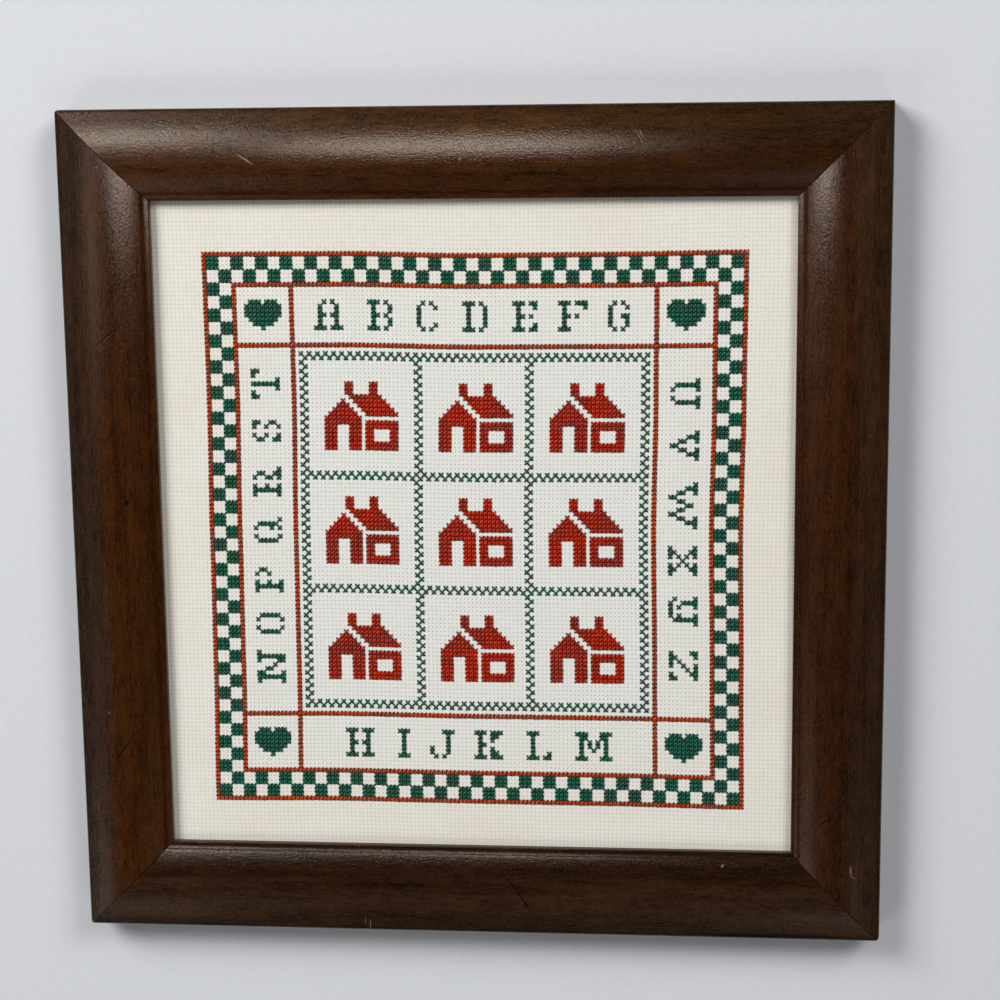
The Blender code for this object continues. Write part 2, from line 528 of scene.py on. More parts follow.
def block_woven_cotton():
    material, tree, shader = new_material("block_woven_cotton")
    count = add_node(tree, "ShaderNodeAttribute", attribute_name="count").outputs["Vector"]
    column, row, pressed = split_apart(tree, count)

    # Distance to the nearest hole, in blocks, and the thread ribs, four to a block each way.
    to_hole = []
    rib = []
    for counted in (column, row):
        to_hole.append(maths(tree, "PINGPONG", counted, 0.5))
        turns = maths(tree, "MULTIPLY", counted, THREADS_A_BLOCK * 2 * math.pi)
        rib.append(maths(tree, "COSINE", turns))
    both = add_node(tree, "ShaderNodeCombineXYZ", {0: to_hole[0], 1: to_hole[1]})
    reach = add_node(tree, "ShaderNodeVectorMath", {0: both}, operation="LENGTH")
    hole = ranged(tree, reach.outputs["Value"], HOLE_EDGE, (1.0, 0.0))
    nearest = maths(tree, "MINIMUM", to_hole[0], to_hole[1])
    furrow = ranged(tree, nearest, FURROW_EDGE, (1.0, 0.0))
    ribs = maths(tree, "MULTIPLY", rib[0], rib[1])

    # Handling leaves faint warm clouds some 40 mm across, and cotton slubs a millimetre or two long.
    warmth = ranged(tree, noise(tree, 25.0, 3.0), (0.35, 0.65), (0.0, 1.0), "LINEAR")
    speck = ranged(tree, noise(tree, 700.0, 2.0), (0.3, 0.7), (0.96, 1.02), "LINEAR")
    margin = blend(tree, warmth, "#ebe7dc", "#e9e3d5")

    # The margin has aged warmer than the middle, which is a cooler white.
    middle = (STITCHES / 2, STITCHES / 2, 0.0)
    off_middle = add_node(tree, "ShaderNodeVectorMath", {0: count, 1: middle},
                          operation="SUBTRACT")
    far = add_node(tree, "ShaderNodeVectorMath", {0: off_middle}, operation="ABSOLUTE")
    far_apart = split_apart(tree, far)
    furthest_out = maths(tree, "MAXIMUM", far_apart[0], far_apart[1])
    aged = ranged(tree, furthest_out, (0.6 * STITCHES / 2, 1.15 * STITCHES / 2), (0.0, 1.0))
    base = blend(tree, aged, "#e8e8e1", margin)
    # Painted shade in the furrows between blocks, and painted light and shade on the thread ribs.
    furrowed = maths(tree, "MULTIPLY_ADD", furrow, FURROW_SHADE, speck)
    ribbed = maths(tree, "MULTIPLY_ADD", ribs, RIB_SHADE, furrowed)

    # Stitching pulls the holes open, so those of the bare margin are finer and less dark.
    opened = ranged(tree, furthest_out, (STITCHES / 2, STITCHES / 2 + 2),
                    (STITCHED_HOLE, MARGIN_HOLE), "LINEAR")
    # The dark of each hole is painted shade inside it; the mesh only sinks there.
    holed = maths(tree, "MULTIPLY_ADD", hole, opened, ribbed)
    # Painted shade where packed stitches hide the cloth.
    shadowed = maths(tree, "MULTIPLY_ADD", pressed, PACKED_PAINTED_SHADE, 1.0)
    colour = dimmed(tree, base, holed, shadowed)
    relief = maths(tree, "MULTIPLY_ADD", hole, -1.5, ribs)
    surface(tree, shader, colour, {
        "Roughness": 0.9, "IOR": 1.5, "Specular IOR Level": 0.25,
        "Sheen Weight": 0.05, "Sheen Roughness": 0.5}, relief, 0.25, 0.04)
    return material


cloth = mesh_object(
    "sampler_cloth", cloth_points, [front_faces, *skirt_faces, back_face], block_woven_cotton())
count_layer = cloth.data.attributes.new("count", "FLOAT_VECTOR", "POINT")
count_layer.data.foreach_set("vector", cloth_counts.astype(np.float32).ravel())
map_from_above(cloth, cloth_low, cloth_high)
print("triangles of cloth:", triangle_count(cloth))

# %% [markdown]
# ## The cross stitches
#
# A cross stitch is two short legs of embroidery cotton, one over the other, each from hole to hole
# across one block. The needle pulls each end down into its hole and the thread swells between, so
# a leg is a small tube that starts at a point, fattens, rises over the cloth or over the other leg,
# and dives again. A curve with a bevel for each would be thousands of curves; the legs are worked
# out together as arrays instead. All the upper legs run the same way, as a careful stitcher does.

# %% Legs of thread
LEG_STEPS = np.array([0.03, 0.30, 0.70, 0.97])
LEG_SIDES = 5
LEG_HALF_WIDTH = 0.39 * MM
PACKED_WIDER = 0.03 * MM
LEG_HALF_HEIGHT = 0.20 * MM
UNDER_RISE = 0.15 * MM
OVER_RISE = 0.38 * MM
DIVE = 0.35 * MM
ARCH_BLUNTNESS = 0.32  # 0 makes a leg's back flat all along, and 1 a plain arch
WIDTH_BLUNTNESS = 0.05
END_OVERLAP = 0.06  # blocks, the most a leg runs past its hole
END_WANDER = 0.03
RISE_SPREAD = 0.06
WIDTH_SPREAD = 0.07
HEIGHT_SPREAD = 0.05


def leg_arrays(squares, neighbours, over, seed):
    """Points, quads, end fans, and how far along and around its leg each point is."""
    draw = np.random.default_rng(seed)
    number = len(squares)
    column, row = squares.T.astype(float)
    start = np.stack([column, row + 1 if over else row], -1)
    end = np.stack([column + 1, row if over else row + 1], -1)
    inset = draw.uniform(-END_OVERLAP, 0.0, (number, 2, 1))
    wander = draw.normal(0, END_WANDER, (number, 2, 2))
    first = start + (end - start) * inset[:, 0] + wander[:, 0]
    last = end + (start - end) * inset[:, 1] + wander[:, 1]

    steps = np.concatenate([[0.0], LEG_STEPS, [1.0]])
    path = first[:, None] * (1 - steps[:, None]) + last[:, None] * steps[:, None]
    x, y = on_cloth(path[..., 0], path[..., 1])
    rise = OVER_RISE if over else UNDER_RISE
    arch = np.sin(np.pi * steps) ** ARCH_BLUNTNESS
    swell = draw.normal(1, RISE_SPREAD, (number, 1))
    z = CLOTH_TOP - DIVE + (DIVE + rise) * arch * swell
    spine = np.stack([x, y, z], -1)

    along = spine[:, -1] - spine[:, 0]
    length = np.linalg.norm(along[:, :2], axis=1)
    sideways = np.stack([-along[:, 1], along[:, 0], np.zeros(number)], -1) / length[:, None]
    fat = np.sin(np.pi * LEG_STEPS) ** WIDTH_BLUNTNESS
    half_width = LEG_HALF_WIDTH + PACKED_WIDER * neighbours[:, None]
    width = half_width * fat * draw.normal(1, WIDTH_SPREAD, (number, 1))
    height = LEG_HALF_HEIGHT * fat * draw.normal(1, HEIGHT_SPREAD, (number, 1))
    angle = np.pi / 2 + 2 * np.pi * np.arange(LEG_SIDES) / LEG_SIDES
    rings = spine[:, 1:-1, None, :] + (
        width[:, :, None, None] * np.cos(angle)[:, None] * sideways[:, None, None, :]
        + height[:, :, None, None] * np.sin(angle)[:, None] * np.array([0.0, 0.0, 1.0])
    )
    rings = rings.reshape(number, -1, 3)
    points = np.concatenate([spine[:, :1], rings, spine[:, -1:]], 1)

    # One leg's faces: a fan at each end and bands of quads between the rings.
    per_leg = points.shape[1]
    ring = np.arange(1, per_leg - 1).reshape(-1, LEG_SIDES)
    beside = np.roll(ring, -1, 1)
    quads = np.stack([ring[:-1], beside[:-1], beside[1:], ring[1:]], -1).reshape(-1, 4)
    fans = np.concatenate([
        np.stack([np.zeros(LEG_SIDES, int), beside[0], ring[0]], -1),
        np.stack([np.full(LEG_SIDES, per_leg - 1), ring[-1], beside[-1]], -1),
    ])
    offset = (np.arange(number) * per_leg)[:, None, None]
    quads = (quads[None] + offset).reshape(-1, 4)
    fans = (fans[None] + offset).reshape(-1, 3)

    turn = np.arange(LEG_SIDES) / LEG_SIDES
    turn = np.where(turn > 0.5, turn - 1, turn)
    strand_along = np.concatenate([[0.0], np.repeat(LEG_STEPS, LEG_SIDES), [1.0]])
    strand_around = np.concatenate([[0.0], np.tile(turn, len(LEG_STEPS)), [0.0]])
    strand = np.broadcast_to(np.stack([strand_along, strand_around], -1), (number, per_leg, 2))
    return points.reshape(-1, 3), quads, fans, strand


print("points round and along a leg:", LEG_SIDES, len(LEG_STEPS) + 2)

# %% [markdown]
# Each part of the design is one piece: first the lower legs of all its crosses, then the upper ones.
# One dyed thread shows lighter or darker by up to a fifth where it lies differently, so every leg has
# a shade of its own: it differs by cross and by leg and drifts over the cloth, and the lower legs get
# painted shade from the upper legs over them. A cross with few neighbours is pulled tighter, so it is
# narrower and a little darker.

# %% Crosses from legs
# Shades are shares of the dyed colour, and the first three are spreads.
CROSS_SPREAD = 0.07
LEG_SPREAD = 0.08
DRIFT_SPREAD = 0.05
# Painted shade of the lower legs under the upper ones.
LOWER_LEG_PAINTED_SHADE = 0.85
LONE_CROSS_SHADE = 0.86
NEIGHBOUR_SHADE = 0.035


def worked_in(name, squares, material, seed):
    """One piece that holds a cross on each of the squares."""
    squares = np.array(sorted(squares, key=lambda square: (square[1], square[0])))
    worked = {tuple(square) for square in squares}
    beside = ((1, 0), (-1, 0), (0, 1), (0, -1))
    neighbours = np.array([
        sum((column + right, row + down) in worked for right, down in beside)
        for column, row in squares])
    draw = np.random.default_rng(seed)
    own = draw.normal(0, CROSS_SPREAD, len(squares))
    waves = np.sin(squares[:, 0] * 0.31 + seed) * np.sin(squares[:, 1] * 0.23 + 2 * seed)
    drift = waves * DRIFT_SPREAD
    drawn_in = LONE_CROSS_SHADE + NEIGHBOUR_SHADE * neighbours
    shade = drawn_in * (1 + own + drift)
    points, quads, fans, strands = [], [], [], []
    for over in (False, True):
        leg = leg_arrays(squares, neighbours, over, seed + 100 + over)
        shift = sum(len(part) for part in points)
        points.append(leg[0])
        quads.append(leg[1] + shift)
        fans.append(leg[2] + shift)
        # Painted shade: the lower legs lie in the shadow of the upper ones.
        in_shadow = 1.0 if over else LOWER_LEG_PAINTED_SHADE
        leg_shade = in_shadow * (shade + draw.normal(0, LEG_SPREAD, len(shade)))
        leg_shade = np.broadcast_to(leg_shade[:, None, None], (*leg[3].shape[:2], 1))
        strands.append(np.concatenate([leg[3], leg_shade], -1).reshape(-1, 3))
    piece = mesh_object(name, np.concatenate(points),
                        [np.concatenate(quads), np.concatenate(fans)], material)
    strand = piece.data.attributes.new("strand", "FLOAT_VECTOR", "POINT")
    strand.data.foreach_set("vector", np.concatenate(strands).astype(np.float32).ravel())
    map_from_above(piece, cloth_low, cloth_high)
    print(name, "crosses:", len(squares), "triangles:", triangle_count(piece))
    return piece


print("shade of a cross among four others:", LONE_CROSS_SHADE + 4 * NEIGHBOUR_SHADE)

# %% [markdown]
# The thread is stranded embroidery cotton, mercerised, two strands at a time. Mercerising swells the
# fibres round and smooth, which gives the eye a soft lustre along each leg, and the two strands'
# twist shows as fine slanting lines, painted as light and shade across the plies. The twist repeats
# about every 0.9 mm.

# %% Mercerised embroidery cotton
TWISTS_A_LEG = 2.8
SHADE_IN_HOLE = 0.25
SHADE_BETWEEN = 0.5


def embroidery_cotton(name, deep, bright):
    material, tree, shader = new_material(name)
    strand = add_node(tree, "ShaderNodeAttribute", attribute_name="strand")
    along, around, leg_tone_and_shade = split_apart(tree, strand.outputs["Vector"])
    # Painted light and shade across the twisted plies: the dyed colour runs from its shaded to its lit
    # end with the twist, and the same value is the bump.
    turned = maths(tree, "MULTIPLY", around, 4 * math.pi)
    slant = maths(tree, "MULTIPLY_ADD", along, 2 * math.pi * TWISTS_A_LEG, turned)
    ply = maths(tree, "COSINE", slant)
    ply_light_and_relief = maths(tree, "MULTIPLY_ADD", ply, 0.55, noise(tree, 2500.0, 2.0))
    dyed = blend(tree, ply_light_and_relief, deep, bright)

    # The ends go down into the holes and the sides press together, where little light follows.
    from_end = maths(tree, "PINGPONG", along, 0.5)
    in_hole = ranged(tree, from_end, (0.04, 0.28), (SHADE_IN_HOLE, 1.0))
    from_top = maths(tree, "ABSOLUTE", around)
    between = ranged(tree, from_top, (0.05, 0.24), (1.0, SHADE_BETWEEN))
    surface(tree, shader, dimmed(tree, dyed, in_hole, between, leg_tone_and_shade), {
        "Roughness": 0.55, "IOR": 1.5, "Specular IOR Level": 0.15}, ply_light_and_relief, 0.4, 0.05)
    return material


hunter_green = embroidery_cotton("embroidery_cotton_hunter_green", "#04291d", "#2b866a")
brick_red = embroidery_cotton("embroidery_cotton_brick_red", "#801203", "#e83d18")
rust = embroidery_cotton("embroidery_cotton_rust", "#842a0b", "#ec5c24")

DESIGN_PARTS = (
    ("stitched_checks", checks, hunter_green),
    ("stitched_rules", rules, rust),
    ("stitched_bands", bands, hunter_green),
    ("stitched_houses", houses, brick_red),
    ("stitched_letters_and_hearts", figures, hunter_green),
)
stitching = [worked_in(*facts, seed) for seed, facts in enumerate(DESIGN_PARTS, 1)]

# %% [markdown]
# ## The moulding
#
# One length of moulding was shaped on a spindle, stained, cut at 45 degrees and joined. Its section
# is a broad crown, highest 17 mm in from the outside, falling to a small hollow cove along the
# sight edge. The section here takes the CAD's rail width and crest height and is drawn in many small
# steps so that it shades as a smooth curve. It goes round from the back corner, up the outside, over
# the crown and the cove, down the sight edge and back along the rabbet that holds the cloth.

# %% The moulding's section
CREST_INSET = 17.0 * MM
OUTER_CROWN_RADIUS = 44.0 * MM
INNER_CROWN_RADIUS = 38.0 * MM
SHOULDER_RADIUS = 1.8 * MM
COVE_INSET = 35.2 * MM
COVE_FIRST_SLOPE = math.radians(44)
COVE_LAST_SLOPE = math.radians(8)
SIGHT_ARRIS_RADIUS = 0.6 * MM
RABBET_WIDTH = 6.5 * MM
RABBET_DEPTH = 8.5 * MM
SHOULDER_STEPS = 9
OUTER_CROWN_STEPS = 22
INNER_CROWN_STEPS = 20
COVE_STEPS = 10
ARRIS_STEPS = 6
SIDE_SHARES = (0.0, 0.03, 0.25, 0.5, 0.75, 0.92)  # rows up the flat outer side


def arc(centre, radius, first, last, steps):
    """Points (inset, height) on an arc, with angles from the inward direction."""
    angles = np.linspace(first, last, steps + 1)
    return np.stack([centre[0] + radius * np.cos(angles), centre[1] + radius * np.sin(angles)], -1)


def moulding_section():
    """The whole outline of the section, as points (inset, height)."""
    up = math.pi / 2
    outer_slope = math.asin(
        (CREST_INSET - SHOULDER_RADIUS) / (OUTER_CROWN_RADIUS - SHOULDER_RADIUS))
    outer_drop = OUTER_CROWN_RADIUS * (1 - math.cos(outer_slope))
    side_height = CREST_HEIGHT - outer_drop - SHOULDER_RADIUS * math.cos(outer_slope)
    shoulder = arc((SHOULDER_RADIUS, side_height), SHOULDER_RADIUS,
                   math.pi, up + outer_slope, SHOULDER_STEPS)
    outer_crown = arc((CREST_INSET, CREST_HEIGHT - OUTER_CROWN_RADIUS), OUTER_CROWN_RADIUS,
                      up + outer_slope, up, OUTER_CROWN_STEPS)
    inner_slope = math.asin((COVE_INSET - CREST_INSET) / INNER_CROWN_RADIUS)
    inner_crown = arc((CREST_INSET, CREST_HEIGHT - INNER_CROWN_RADIUS), INNER_CROWN_RADIUS,
                      up, up - inner_slope, INNER_CROWN_STEPS)
    arris_start = SIGHT_ARRIS_RADIUS * (1 - math.sin(COVE_LAST_SLOPE))
    cove_width = RAIL_WIDTH - arris_start - COVE_INSET
    cove_radius = cove_width / (math.sin(COVE_FIRST_SLOPE) - math.sin(COVE_LAST_SLOPE))
    cove_centre = (COVE_INSET + cove_radius * math.sin(COVE_FIRST_SLOPE),
                   inner_crown[-1][1] + cove_radius * math.cos(COVE_FIRST_SLOPE))
    cove = arc(cove_centre, cove_radius,
               -up - COVE_FIRST_SLOPE, -up - COVE_LAST_SLOPE, COVE_STEPS)
    arris_centre = (RAIL_WIDTH - SIGHT_ARRIS_RADIUS,
                    cove[-1][1] - SIGHT_ARRIS_RADIUS * math.cos(COVE_LAST_SLOPE))
    arris = arc(arris_centre, SIGHT_ARRIS_RADIUS, up - COVE_LAST_SLOPE, 0, ARRIS_STEPS)
    rabbet = np.array([
        [RAIL_WIDTH, RABBET_DEPTH],
        [RAIL_WIDTH - RABBET_WIDTH, RABBET_DEPTH],
        [RAIL_WIDTH - RABBET_WIDTH, 0.0],
    ])
    side = np.array([[0.0, share * side_height] for share in SIDE_SHARES])
    return np.concatenate(
        [side, shoulder, outer_crown[1:], inner_crown[1:], cove[1:], arris[1:], rabbet])


SECTION = moulding_section()
SIDE_TOP = float(SECTION[len(SIDE_SHARES) - 1, 1] / SIDE_SHARES[-1])
print("points round the section:", len(SECTION))
print("shoulder starts in mm:", round(SIDE_TOP / MM, 2))
print("crest in mm:", round(float(SECTION[:, 1].max()) / MM, 2))

# %% [markdown]
# ## The rails
#
# Each rail is the section swept along its length and cut at the mitres, in its own axes: X runs
# along the grain and inwards is -Y. Four objects, each with its own axes, let one wood material
# follow the grain of every rail. Sections stand close together near the ends, where the wear is:
# knocks have rounded three of the four corners, and the mitres have opened by a hair.

# %% Sweep a rail
NEAR_END = np.array([0.0, 0.12, 0.3, 0.6, 1.0, 1.5, 2.1, 2.8, 3.6, 4.6, 6.0, 8.0, 11.0, 15.0]) * MM
STATION_SPACING = 6.0 * MM
MITRE_OPEN_OUTSIDE = 0.10 * MM
MITRE_OPEN_INSIDE = 0.16 * MM
MITRE_ARRIS = 0.10 * MM
UNEVEN_FACE = 0.035 * MM
FACE_WAVES = (0.23, 0.11, 0.047)  # metres along the rail
SHARP_EDGE = math.radians(35)


def worn_corner(along, inset, height, half_length, radius, end):
    """Points near an outer corner, pushed in to a ragged rounded corner of about this radius."""
    if radius <= 0:
        return along, inset
    ragged = radius * (1 + 0.18 * np.sin(height / (1.7 * MM)) + 0.10 * np.sin(height / (0.6 * MM)))
    from_end = half_length - along * end
    into = np.maximum(ragged - from_end, 0)
    across = np.maximum(ragged - inset, 0)
    reach = np.hypot(into, across)
    outside = (into > 0) & (across > 0) & (reach > ragged)
    pull = np.where(outside, ragged / np.maximum(reach, 1e-9), 1.0)
    new_from_end = np.where(outside, ragged - into * pull, from_end)
    new_inset = np.where(outside, ragged - across * pull, inset)
    return (half_length - new_from_end) * end, new_inset


def rail_mesh(name, length, material, wear, seed):
    """A rail of this length over its outer side. wear is the corner radius at its -X and +X ends."""
    half = length / 2
    inset, height = SECTION[:, 0], SECTION[:, 1]
    middle = np.arange(0, half - NEAR_END[-1], STATION_SPACING) / half
    shares = np.concatenate([middle, 1 - NEAR_END[::-1] / half])
    shares = np.concatenate([-shares[:0:-1], shares])
    opening = MITRE_OPEN_OUTSIDE + (MITRE_OPEN_INSIDE - MITRE_OPEN_OUTSIDE) * inset / RAIL_WIDTH
    reach = half - inset - opening
    along = shares[:, None] * reach[None]
    insets = np.broadcast_to(inset, along.shape).copy()
    heights = np.broadcast_to(height, along.shape).copy()

    # The arris of each mitre is eased, and the face is never dead true.
    at_end = np.abs(shares) == 1
    upper = height > RABBET_DEPTH + 1 * MM
    heights[np.ix_(at_end, upper)] -= MITRE_ARRIS
    draw = np.random.default_rng(seed)
    phases = draw.uniform(0, 2 * np.pi, 6)
    swell = sum(
        np.sin(along * (2 * np.pi / wave) + phase) / (order + 1)
        for order, (wave, phase) in enumerate(zip(FACE_WAVES, phases)))
    on_face = np.clip((height - SIDE_TOP) / (2 * MM), 0, 1)
    heights += UNEVEN_FACE * swell * on_face * (1 - np.abs(shares[:, None]) ** 8)

    for end, radius in ((-1, wear[0]), (1, wear[1])):
        along, insets = worn_corner(along, insets, heights, half, radius, end)

    points = np.stack([along, -insets, heights], -1)
    stations, around = along.shape
    index = np.arange(stations * around).reshape(stations, around)
    following = np.roll(index, -1, 1)
    walls = np.stack([index[:-1], following[:-1], following[1:], index[1:]], -1).reshape(-1, 4)
    caps = np.stack([index[0, ::-1], index[-1]])
    return mesh_object(name, points.reshape(-1, 3), [walls, caps], material, sharp=SHARP_EDGE)


print("stations near each end:", len(NEAR_END), "and the first in mm:", NEAR_END[1] / MM)

# %% [markdown]
# The finish is walnut stain on a close-grained hardwood, rubbed and given a satin varnish. Stain
# sinks into soft streaks and pores, so the eye gets brown that runs from nearly black to red-brown
# in long streaks, fine dark dashes of open pore a third of a millimetre wide, and a broken, silky
# highlight. Two rails are darker towards one end. Old scratches are darker where dirt has
# filled them and pale where the wood was bruised.

# %% Walnut-stained wood under satin varnish
STREAK_WANDER = 30.0  # millimetres across the rail for the whole range of the streak noise
SPLIT_SOFTNESS = 5.0  # millimetres
DARKEST_TONE = 0.35
PORE_SHADE = -0.30
# Stain and painted shade on the outer side.
RIM_STAIN_AND_SHADE = 0.8
VARNISH_ROUGHNESS = (0.14, 0.27)
STIPPLE_DEPTH = 0.095  # millimetres
GRAIN = (
    # layer, size across the grain in millimetres, stretch along it, detail, share in the tone
    ("streak", 8.0, 20.0, 3.0, 1.1),
    ("band", 2.4, 22.0, 3.0, 1.0),
    ("fibre", 0.6, 9.0, 3.0, 1.8),
    ("figure", 6.0, 2.2, 4.0, 1.3),
    ("speckle", 0.75, 1.6, 3.0, 1.5),
    ("pore", 0.36, 6.0, 1.0, 0.0),
)


def stained_walnut(name, seed, outer_wood, inner_wood, split, deeper, scratches, bruises):
    """The wood turns from the outer to the inner colour at the inset called split, in millimetres.

    deeper is (from, to, tone): along the rail the colour darkens from 1 to tone between two places.
    scratches and bruises are (along, inset, length, width, degrees) in millimetres.
    """
    material, tree, shader = new_material(name)
    here = add_node(tree, "ShaderNodeTexCoord").outputs["Object"]
    along_grain, outwards, _ = split_apart(tree, here)

    # Each layer of grain is noise drawn out along X, and most have a share in the tone.
    grain = {}
    tone = 1.0
    for layer, across, stretch, detail, share in GRAIN:
        drawn_out = add_node(tree, "ShaderNodeMapping", {
            "Vector": here, "Location": (seed * 0.731, seed * 0.417, seed * 0.219),
            "Scale": (1 / stretch, 1.0, 1.0)})
        grain[layer] = noise(tree, 1000.0 / across, detail, drawn_out, Roughness=0.55)
        if share > 0:
            centred = maths(tree, "SUBTRACT", grain[layer], 0.5)
            tone = maths(tree, "MULTIPLY_ADD", centred, share, tone)
    tone = maths(tree, "MAXIMUM", tone, DARKEST_TONE)

    # The split between the two woods wanders with the streaks.
    wandered = maths(tree, "MULTIPLY_ADD", grain["streak"], STREAK_WANDER * MM, outwards)
    middle = (STREAK_WANDER / 2 - split) * MM
    inner_share = ranged(
        tree, wandered, (middle - SPLIT_SOFTNESS * MM, middle + SPLIT_SOFTNESS * MM), (1.0, 0.0))
    wood = blend(tree, inner_share, outer_wood, inner_wood)

    # Open pores are darker, and the outer side is darker: partly stain and dirt gathered there, partly
    # painted shade.
    pore = ranged(tree, grain["pore"], (0.56, 0.67), (0.0, 1.0))
    pored = maths(tree, "MULTIPLY_ADD", pore, PORE_SHADE, 1.0)
    rim = ranged(tree, outwards, (-3.0 * MM, -0.4 * MM), (1.0, RIM_STAIN_AND_SHADE))
    # Along the rail the wood is darker towards one end.
    darker_along_rail = ranged(tree, along_grain, (deeper[0] * MM, deeper[1] * MM), (1.0, deeper[2]))
    colour = dimmed(tree, wood, tone, pored, rim, darker_along_rail)

    # Each mark is an ellipse: its own axes shrink it to a unit circle round nothing.
    masks = {}
    for kind, marks in (("scratch", scratches), ("bruise", bruises)):
        total = None
        for along, inset, length, width, degrees in marks:
            own = add_node(tree, "ShaderNodeMapping", {
                "Vector": here, "Location": (along * MM, -inset * MM, 0.0),
                "Rotation": (0.0, 0.0, math.radians(degrees)),
                "Scale": (length * MM / 2, width * MM / 2, 10.0)}, vector_type="TEXTURE")
            reach = add_node(tree, "ShaderNodeVectorMath", {0: own}, operation="LENGTH")
            inside = ranged(tree, reach.outputs["Value"], (0.35, 1.0), (1.0, 0.0))
            total = inside if total is None else maths(tree, "MAXIMUM", total, inside)
        masks[kind] = total
    for kind, mark_colour, weight in (("bruise", "#8a7763", 0.7), ("scratch", "#0d0704", 0.9)):
        amount = maths(tree, "MULTIPLY", masks[kind], weight)
        colour = blend(tree, amount, colour, mark_colour)

    # The varnish sinks a little with the fibres and dries in a fine stipple, which breaks up its shine.
    gloss = ranged(tree, grain["speckle"], (0.3, 0.7), VARNISH_ROUGHNESS, "LINEAR")
    tree.links.new(gloss.outputs[0], shader.inputs["Roughness"])
    stipple = maths(tree, "MULTIPLY_ADD", grain["fibre"], 0.6, grain["speckle"])
    height = maths(tree, "MULTIPLY_ADD", masks["scratch"], -0.5, stipple)
    surface(tree, shader, colour, {
        "IOR": 1.5, "Specular IOR Level": 0.4, "Specular Tint": linear("#fff2e4")},
        height, 1.0, STIPPLE_DEPTH)
    return material


RAILS = {
    # Along is X and inwards is -Y in a rail's own axes. at is the middle of its outer side, woods are
    # the colours of its outer and inner sides, and wear, deeper and the marks are in millimetres.
    "top": dict(
        at=(0.0, HALF_HEIGHT), turn=0, length=2 * HALF_WIDTH, wear=(2.0, 0.3), seed=1,
        woods=("#3c240e", "#3f2008"), split=19, deeper=(0, 140, 0.6),
        scratches=((-96.4, 18.4, 19, 0.9, -34), (-84.6, 27.8, 9, 1.0, -50), (71, 14, 11, 0.9, -62)),
        bruises=((-93.4, 21.2, 11, 1.1, -34), (72, 12.2, 5, 0.6, -62), (-3, 22, 2.0, 1.2, 80)),
    ),
    "left": dict(
        at=(-HALF_WIDTH, 0.0), turn=90, length=2 * HALF_HEIGHT, wear=(2.0, 2.0), seed=2,
        woods=("#2f2016", "#3b1d06"), split=12, deeper=(0, 140, 1.0),
        scratches=((-98, 19, 17, 1.1, -36), (-89.5, 25.5, 12, 1.0, -48), (85, 20.5, 21, 1.1, -54),
                   (12.5, 25.0, 3.6, 3.0, 0), (-150, 18, 3.5, 2.0, 0)),
        bruises=((-81, 13.5, 1.6, 0.8, 20),),
    ),
    "bottom": dict(
        at=(0.0, -HALF_HEIGHT), turn=180, length=2 * HALF_WIDTH, wear=(2.6, 2.0), seed=3,
        woods=("#2f1d10", "#241104"), split=22, deeper=(0, 140, 1.0),
        scratches=((-21.4, 14.6, 5, 2.0, -60), (-17.4, 20.8, 20, 1.2, -54), (-128, 1.8, 90, 2.2, 0)),
        bruises=((48, 3, 7, 0.6, 88), (50, 5, 5, 0.4, 88), (-107, 33, 2.2, 1.2, 40)),
    ),
    "right": dict(
        at=(HALF_WIDTH, 0.0), turn=-90, length=2 * HALF_HEIGHT, wear=(0.3, 2.6), seed=4,
        woods=("#352112", "#361b09"), split=16, deeper=(-60, 80, 0.78),
        scratches=((117, 18, 15, 1.0, -38), (125, 24, 11, 1.0, -52), (34, 26, 2.5, 1.6, 0)),
        bruises=((147, 13, 6.5, 0.9, 4), (150, 12, 3, 0.6, 70)),
    ),
}

rails = {}
for side, facts in RAILS.items():
    wood = stained_walnut("stained_walnut_" + side, facts["seed"], *facts["woods"],
                          facts["split"], facts["deeper"], facts["scratches"], facts["bruises"])
    wear = [radius * MM for radius in facts["wear"]]
    rail = rail_mesh("moulding_" + side, facts["length"], wood, wear, facts["seed"])
    rail.location = (*facts["at"], 0.0)
    rail.rotation_euler = (0.0, 0.0, math.radians(facts["turn"]))
    rails[side] = rail
    print("rail", side, "triangles:", triangle_count(rail))

# %% [markdown]
# ## The back board
#
# Behind the cloth lies a sheet of hardboard: brown wood fibre, pressed with its smooth face out. Its
# CAD node is already the right shape, so it stays and only gets a finish: a dull mid brown with
# darker fibres and a faint waxy shine.

# %% Pressed hardboard
def pressed_hardboard():
    material, tree, shader = new_material("pressed_hardboard")
    fibre = noise(tree, 900.0, 5.0, Distortion=1.5)
    both = maths(tree, "MULTIPLY_ADD", fibre, 0.6, noise(tree, 60.0, 4.0))
    tone = add_node(tree, "ShaderNodeValToRGB", {0: both}, stops=[
        (0.55, linear("#4a3421")), (0.80, linear("#6e5136")), (1.0, linear("#86684a"))])
    surface(tree, shader, tone.outputs[0], {"Roughness": 0.6, "IOR": 1.5}, fibre, 0.2, 0.05)
    return material


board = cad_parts["back_board"]
board.data.materials.clear()
board.data.materials.append(pressed_hardboard())
print("board keeps its CAD mesh of", len(board.data.polygons), "faces")

# %% [markdown]
# ## Riding on the frame
#
# Nothing on the sampler moves, so every piece rides on the one body, root. Each rail and the cloth
# replaces its CAD node, and the stitches go with the cloth.

# %% Tie the pieces to the CAD
for side, rail in rails.items():
    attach(rail, "root")
    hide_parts("rail_" + side)
for piece in [cloth, *stitching]:
    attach(piece, "root")
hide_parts("stretched_cloth")
print("cloth cut to mm:", [round(side / MM, 1) for side in CLOTH_FLAT])

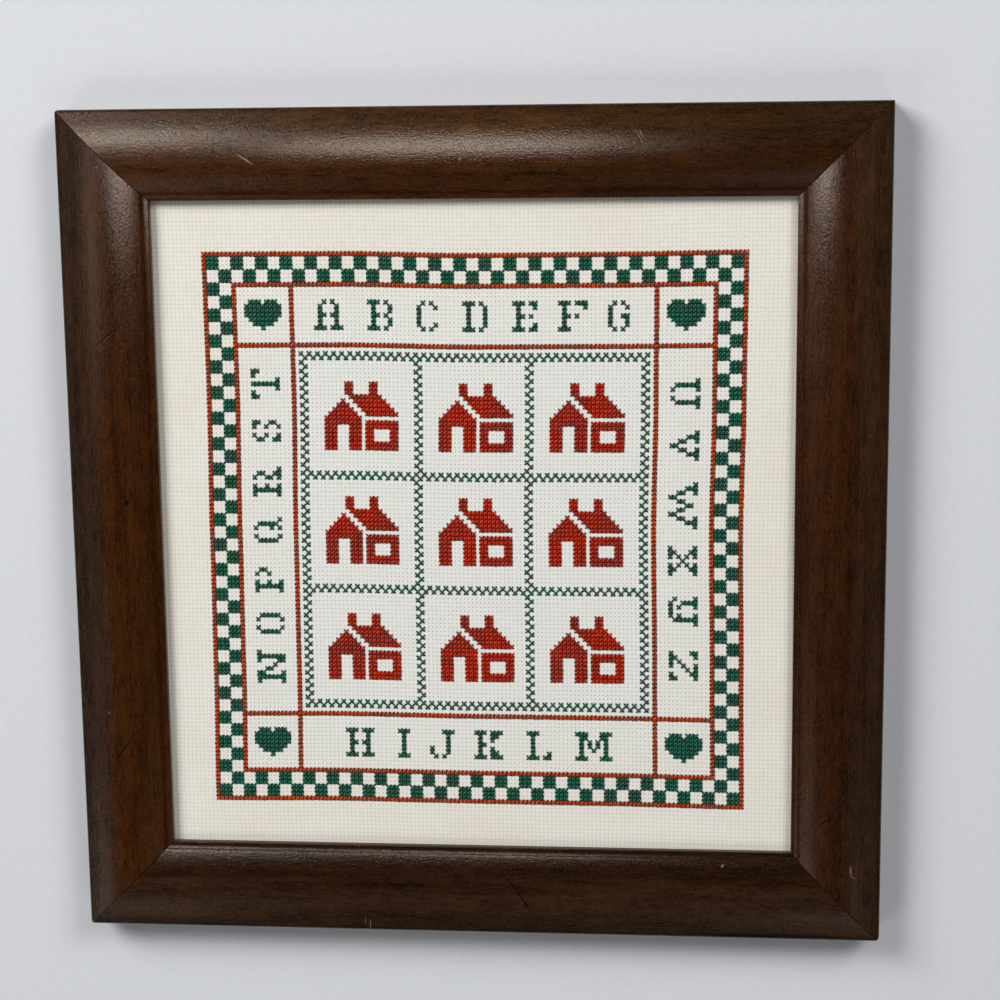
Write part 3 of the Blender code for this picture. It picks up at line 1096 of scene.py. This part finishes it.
# %% [markdown]
# ## Table, light and camera
#
# The sampler lies face up on a pale matt table. Four soft lights stand off its corners, the strongest
# beyond the top left one, so the table is brightest there and shadows are faint. A satin varnish
# shows its shape by what it mirrors, so three small lamps hang where the rails mirror them. They
# light the shine only: neither the camera nor any matt colour sees them. The camera looks down from
# nearly overhead.

# %% The table
def matt_paper():
    material, tree, shader = new_material("matt_paper")
    tone = blend(tree, noise(tree, 400.0, 3.0), "#d3d5d9", "#dcdee2")
    surface(tree, shader, tone, {"Roughness": 0.95})
    return material


TABLE_HALF = 3.0
table_points = np.array([[-1, -1, 0], [1, -1, 0], [1, 1, 0], [-1, 1, 0]], float) * TABLE_HALF
table = mesh_object("table", table_points, [np.array([[0, 1, 2, 3]])], matt_paper())

# %% Lights
def area_light(name, at, aim, size, power):
    data = bpy.data.lights.new(name, "AREA")
    data.shape = "RECTANGLE"
    data.size, data.size_y = size
    data.energy = power
    light = bpy.data.objects.new(name, data)
    light.location = at
    light.rotation_euler = (Vector(at) - Vector(aim)).to_track_quat("Z", "Y").to_euler()
    bpy.context.scene.collection.objects.link(light)
    return light


SOFT_LIGHT_SIZE = (1.4, 1.4)
SOFT_LIGHTS = {
    # name: place, power in watts. Each is a square, aimed at the middle of the table.
    "far_top_left": ((-1.8, 1.6, 1.6), 75.0),
    "far_bottom_left": ((-1.7, -1.85, 1.6), 15.0),
    "far_top_right": ((1.9, 1.9, 2.0), 54.0),
    "far_bottom_right": ((1.2, -2.2, 2.2), 11.0),
}
for name, (at, power) in SOFT_LIGHTS.items():
    area_light(name, at, (0, 0, 0), SOFT_LIGHT_SIZE, power)

SHINE_LAMPS = {
    # name: place, size, power. Each hangs level and adds shine only.
    "low_lamp": ((-0.045, 0.168, 0.31), (0.17, 0.06), 0.40),
    "corner_lamp": ((-0.27, 0.275, 0.46), (0.08, 0.14), 0.58),
    "side_lamp": ((-0.345, 0.09, 0.46), (0.05, 0.12), 0.07),
}
for name, (at, size, power) in SHINE_LAMPS.items():
    lamp = area_light(name, at, (at[0], at[1], 0.0), size, power)
    lamp.visible_camera = False
    lamp.visible_diffuse = False

world = bpy.data.worlds.new("studio")
bpy.context.scene.world = world
world.use_nodes = True
background = world.node_tree.nodes["Background"]
background.inputs["Color"].default_value = linear("#f2f4f8")
background.inputs["Strength"].default_value = 0.035
bpy.context.scene.view_settings.view_transform = "Standard"

# %% The camera
lens = bpy.data.cameras.new("camera")
lens.lens = 79.2
lens.sensor_width = 36.0
lens.clip_start = 0.05
lens.clip_end = 20.0
camera = bpy.data.objects.new("camera", lens)
camera.location = (0.0992, 0.1786, 0.9327)
camera.rotation_euler = (-0.1774, 0.0928, -0.0117)  # radians, from looking straight down
bpy.context.scene.collection.objects.link(camera)
bpy.context.scene.camera = camera
